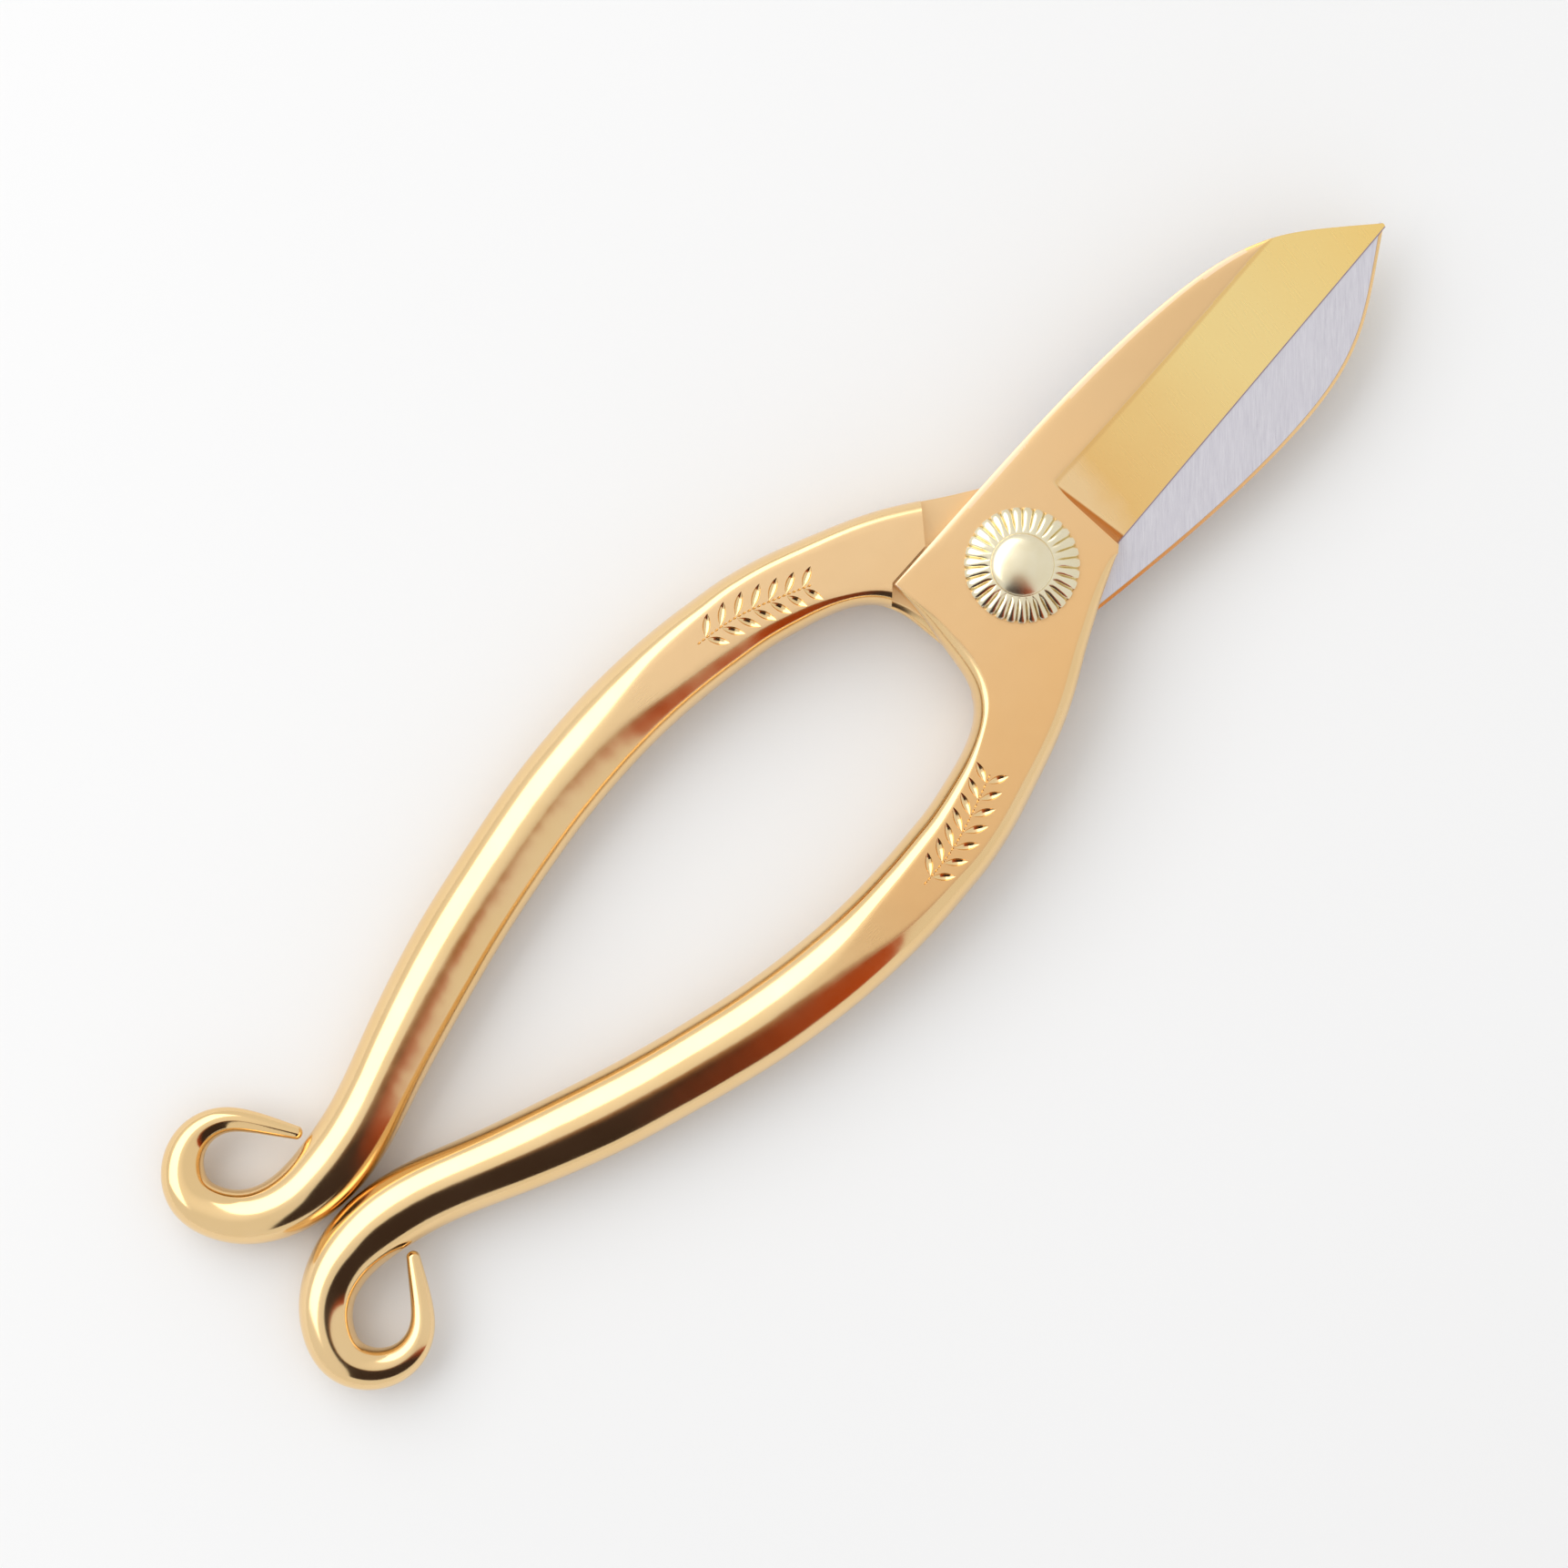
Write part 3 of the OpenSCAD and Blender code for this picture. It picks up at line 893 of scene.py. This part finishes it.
def gold_plate():
    """Polished on the rods and rounded edges, satin on the flats of the root and plate."""
    n = Nodes("gold_plate")
    n.set("Metallic", 1.0)
    where = n.parts(n.place)
    upright = n.math("ABSOLUTE", n.parts(n.normal())["Z"], 0.0)
    flat = n.ramp(upright, *TO_FLAT)
    near = n.ramp(where["X"], *TO_SATIN)
    satin = n.math("MULTIPLY", flat, near)
    clouds = n.noise(n.place, 90.0, 4.0)
    grain = n.noise(n.stretched((1, 9, 1)), 900.0, 4.0, 0.65)
    duller = n.ramp(where["X"], *TO_DULLER, 0.0, 0.16)
    polished = n.math("ADD", n.ramp(clouds, *MOTTLE, 0.10, 0.16), duller)
    satin_rough = n.ramp(grain, 0.25, 0.75, 0.30, 0.40)
    difference = n.math("SUBTRACT", satin_rough, polished)
    n.set("Roughness", n.math("ADD", polished, n.math("MULTIPLY", satin, difference)))
    rod_tone = n.mix(n.ramp(clouds, *BLOTCHES), (0.885, 0.62, 0.305), (0.905, 0.65, 0.345))
    drift = n.math("MULTIPLY", n.math("SUBTRACT", clouds, 0.5), 0.016)
    side = n.ramp(n.math("ADD", where["Y"], drift), *ACROSS_PLATE)
    flat_tone = n.mix(side, (0.885, 0.55, 0.245), (0.885, 0.61, 0.325))
    outward_x = n.math("ADD", where["X"], drift)
    flat_tone = n.mix(n.ramp(outward_x, *ALONG_BLADE), flat_tone, (0.80, 0.53, 0.265))
    n.set("Base Color", n.mix(satin, rod_tone, flat_tone))
    waves = n.math("MULTIPLY", n.noise(n.place, 160.0, 2.0), 0.55)
    scratches = n.math("MULTIPLY", grain, n.ramp(satin, 0, 1, 0.01, 0.05))
    n.bump(n.math("ADD", waves, scratches), 1.0, 0.00008)
    return n.material


def gold_bevel():
    """The ground bevel: brighter and yellower towards the tip, with fine grinding lines across it,
    its darker start near the step painted shade and its brighter middle painted light, paler in the
    step's fillet as a painted highlight, and redder on its wall and along the ridge as painted shade."""
    n = Nodes("gold_bevel")
    n.set("Metallic", 1.0)
    lines = n.noise(n.stretched((14, 1, 1), math.radians(4)), 420.0, 3.0, 0.5)
    clouds = n.noise(n.place, 120.0, 3.0)
    where = n.parts(n.place)
    normal = n.parts(n.normal())
    along = n.math("ADD", where["X"], n.math("MULTIPLY", clouds, 0.008))
    # Darker near the step and brighter in the middle: painted shade and painted light.
    tone = n.mix(n.ramp(along, *BEVEL_MIDDLE), (0.92, 0.575, 0.21), (1.0, 0.765, 0.325))
    tone = n.mix(n.ramp(along, *BEVEL_TIP), tone, (1.0, 0.70, 0.24))
    # Paler near the step's foot: in its fillet this is a painted highlight.
    tone = n.mix(n.ramp(along, *BEVEL_FOOT), tone, (0.97, 0.69, 0.36))
    # Redder just below the flat, along the ridge: a painted shade line.
    level = n.math("ABSOLUTE", n.math("SUBTRACT", where["Z"], MID_Z * MM), 0.0)
    deep, shallow = (PLATE_T * MM - depth for depth in RIDGE_SHADE_DEPTHS)
    tone = n.mix(n.ramp(level, deep, shallow, 0.0, 0.55), tone, (0.80, 0.48, 0.17))
    # Redder and darker where the normal turns to the step's wall: painted shade.
    tone = n.mix(n.ramp(normal["X"], *TO_SHADED_WALL), tone, (0.62, 0.26, 0.07))
    n.set("Base Color", tone)
    n.set("Roughness", n.ramp(lines, 0.25, 0.75, 0.26, 0.32))
    n.bump(lines, 0.015, 0.00002)
    return n.material


def gold_edge():
    """The rounded inner edge along the back of each blade, redder towards the pivot as painted shade and
    reflection.
    """
    n = Nodes("gold_edge")
    n.set("Metallic", 1.0)
    where = n.parts(n.place)
    clouds = n.noise(n.place, 150.0, 3.0)
    along = n.math("ADD", where["X"], n.math("MULTIPLY", clouds, 0.006))
    # Red near the pivot, paling along the blade: painted shade and reflection.
    n.set("Base Color", n.mix(n.ramp(along, *EDGE_SHADE_FADES), (0.72, 0.27, 0.07), (0.95, 0.64, 0.32)))
    n.set("Roughness", n.ramp(clouds, *MOTTLE, 0.20, 0.30))
    return n.material


def painted_spine_sheen():
    """The crown beside the blade's back: rougher plating, paler as a painted highlight."""
    n = Nodes("painted_spine_sheen")
    n.set("Metallic", 1.0)
    clouds = n.noise(n.place, 130.0, 4.0)
    # The paler base colour is a painted highlight along the crown.
    n.set("Base Color", n.mix(n.ramp(clouds, *MOTTLE), (0.84, 0.61, 0.38), (0.88, 0.67, 0.46)))
    n.set("Roughness", n.ramp(clouds, *MOTTLE, 0.40, 0.50))
    return n.material


def cutting_steel():
    """Hard steel, ground across the blade."""
    n = Nodes("cutting_steel")
    n.set("Metallic", 1.0)
    lines = n.noise(n.stretched((1 / 16, 1, 1), -VIEW_TURN, "TEXTURE"), 380.0, 6.0, 0.75)
    broad = n.noise(n.stretched((1 / 6, 1, 1), -VIEW_TURN, "TEXTURE"), 90.0, 3.0)
    tone = n.mix(n.ramp(lines, *MOTTLE), (0.60, 0.58, 0.64), (0.76, 0.75, 0.79))
    n.set("Base Color", n.mix(n.ramp(broad, *MOTTLE, 0.0, 0.35), tone, (0.70, 0.68, 0.74)))
    n.set("Roughness", n.ramp(lines, 0.25, 0.75, 0.26, 0.42))
    n.bump(lines, 0.22, 0.00004)
    return n.material


def dark_edge():
    """The honed strip of steel along the cutting edge; its dark purple is partly the steel's own tone
    and partly painted shade of the gap along the edge.
    """
    n = Nodes("dark_edge")
    n.set("Metallic", 1.0)
    nicks = n.noise(n.stretched((1, 8, 8), 0.0), 700.0, 4.0)
    # Dark purple: partly the steel's own tone, partly painted shade.
    n.set("Base Color", n.mix(n.ramp(nicks, *MOTTLE), (0.34, 0.25, 0.30), (0.46, 0.37, 0.42)))
    n.set("Roughness", n.ramp(nicks, *MOTTLE, 0.35, 0.45))
    return n.material


def pale_brass(name, low, high):
    """Pale polished brass with faint handling marks."""
    n = Nodes(name)
    n.set("Metallic", 1.0)
    clouds = n.noise(n.place, 260.0, 4.0)
    fine = n.noise(n.place, 2400.0, 3.0, 0.6)
    n.set("Base Color", n.mix(n.ramp(clouds, *BLOTCHES), (0.86, 0.76, 0.52), (0.90, 0.82, 0.60)))
    n.set("Roughness", n.ramp(clouds, *MOTTLE, low, high))
    n.bump(fine, 0.05, 0.00002)
    return n.material


def table_top():
    """Plain pale matt surface with a trace of tone."""
    n = Nodes("table_top")
    clouds = n.noise(n.place, 6.0, 3.0)
    low, high = (0.805, 0.805, 0.805), (0.817, 0.817, 0.817)
    n.set("Base Color", n.mix(n.ramp(clouds, *MOTTLE), low, high))
    n.set("Roughness", n.ramp(clouds, *MOTTLE, 0.55, 0.65))
    n.set("Specular IOR Level", 0.3)
    return n.material


# ---------------------------------------------------------------- the stage
def image_direction(azimuth, off_zenith):
    """A direction by its angle in the picture, from image-right towards image-up, and its
    angle from straight up, in degrees."""
    a, e = math.radians(azimuth), math.radians(off_zenith)
    flat = IMAGE_RIGHT * math.cos(a) + IMAGE_UP * math.sin(a)
    return flat * math.sin(e) + Vector((0, 0, math.cos(e)))


def camera():
    data = bpy.data.cameras.new("camera")
    data.sensor_width = data.sensor_height = SENSOR
    data.lens = SENSOR * CAMERA_DISTANCE / FRAME_WIDTH
    data.clip_start, data.clip_end = 0.01, 20
    view = bpy.data.objects.new("camera", data)
    view.location = (CAMERA_X * MM, CAMERA_Y * MM, (MID_Z + CAMERA_DISTANCE) * MM)
    view.rotation_euler = (0, 0, -VIEW_TURN)
    bpy.context.scene.collection.objects.link(view)
    bpy.context.scene.camera = view


def softbox(name, azimuth, off_zenith, distance, width, height, radiance):
    """An area light that faces the snips. Its distance and size are in metres."""
    data = bpy.data.lights.new(name, "AREA")
    data.shape = "RECTANGLE"
    data.size, data.size_y = width, height
    data.energy = radiance * math.pi * width * height
    light = bpy.data.objects.new(name, data)
    target = Vector((CAMERA_X * MM, 0, 0))
    toward = image_direction(azimuth, off_zenith)
    light.location = target + toward * distance
    light.rotation_euler = toward.to_track_quat("Z", "Y").to_euler()
    bpy.context.scene.collection.objects.link(light)


def surroundings():
    """A pale room, a little brighter towards the softbox."""
    world = bpy.data.worlds.new("room")
    bpy.context.scene.world = world
    world.use_nodes = True
    nodes, links = world.node_tree.nodes, world.node_tree.links
    back = nodes["Background"]
    dot = nodes.new("ShaderNodeVectorMath")
    dot.operation = "DOT_PRODUCT"
    links.new(nodes.new("ShaderNodeTexCoord").outputs["Generated"], dot.inputs[0])
    dot.inputs[1].default_value = image_direction(*BRIGHT_SIDE)
    tone = nodes.new("ShaderNodeValToRGB")
    for stop, at, colour in zip(tone.color_ramp.elements, ROOM_RAMP, (ROOM_TONE, ROOM_BRIGHT)):
        stop.position = at
        stop.color = (*colour, 1)
    links.new(dot.outputs["Value"], tone.inputs["Fac"])
    links.new(tone.outputs["Color"], back.inputs["Color"])


def dark_card(name, left, right, low, high, dark, warm, overhead):
    """An upright card beside the snips that only reflections see. left, right: its ends in the
    picture's right and up, mm; low, high: its height; dark, warm, overhead: its tone at the
    left, at the right and high up."""
    corners = [(left, low), (right, low), (right, high), (left, high)]
    verts = [
        (IMAGE_RIGHT * end[0] + IMAGE_UP * end[1] + Vector((0, 0, z))) * MM for end, z in corners
    ]
    piece = add_mesh(name, verts, [(0, 1, 2, 3)])
    n = Nodes(name)
    where = n.parts(n.stretched((1, 1, 1), VIEW_TURN))
    side = n.mix(n.ramp(where["X"], *CARD_WARMS), dark, warm)
    n.set("Base Color", (0.0, 0.0, 0.0))
    n.set("Specular IOR Level", 0.0)
    n.set("Emission Color", n.mix(n.ramp(where["Z"], *CARD_LIFTS), side, overhead))
    n.set("Emission Strength", 1.0)
    piece.data.materials.append(n.material)
    piece.visible_camera = piece.visible_diffuse = piece.visible_shadow = False
    piece.visible_transmission = piece.visible_volume_scatter = False


def table(material):
    """A level-looking sheet that the rivet's end and the lower, turned handle rest on, so it
    leans a little."""
    rise = (MID_Z - PLATE_T) / REST_REACH
    ends = (-TABLE_REACH, TABLE_REACH)
    verts = [(x * MM, y * MM, (-x * rise - REST_R * rise) * MM) for x in ends for y in ends]
    piece = add_mesh("table", verts, [(0, 2, 3, 1)])
    piece.data.materials.append(material)


# ---------------------------------------------------------------- assembly
def adopt(piece, body, node):
    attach(piece, body)
    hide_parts(node)


def build():
    golds = (gold_plate(), gold_bevel(), gold_edge(), painted_spine_sheen())
    steels = (cutting_steel(), dark_edge())
    head, petals = pale_brass("rivet_brass", 0.22, 0.28), pale_brass("rosette_brass", 0.15, 0.22)
    for half, turned in (("front", False), ("rear", True)):
        body = half + "_half"
        adopt(lever(half + "_lever_body", turned, golds), body, half + "_lever")
        steel = facing(half + "_steel_face", turned, steels)
        adopt(steel, body, half + "_cutting_steel")
        washer = rosette(half + "_rosette_washer", turned, petals)
        adopt(washer, "rear_half", half + "_rosette")
    adopt(rivet(head), "rear_half", "pivot_rivet")


camera()
surroundings()
softbox("softbox", 150, 44.5, 0.9, 1.5, 0.745, 1.35)
dark_card(
    "dark_card", (-80, -112), (76, -150), 24, 760,
    dark=(0.040, 0.026, 0.024), warm=(0.42, 0.07, 0.006), overhead=(0.45, 0.25, 0.14),
)
table(table_top())
build()
bpy.context.scene.view_settings.view_transform = "Standard"
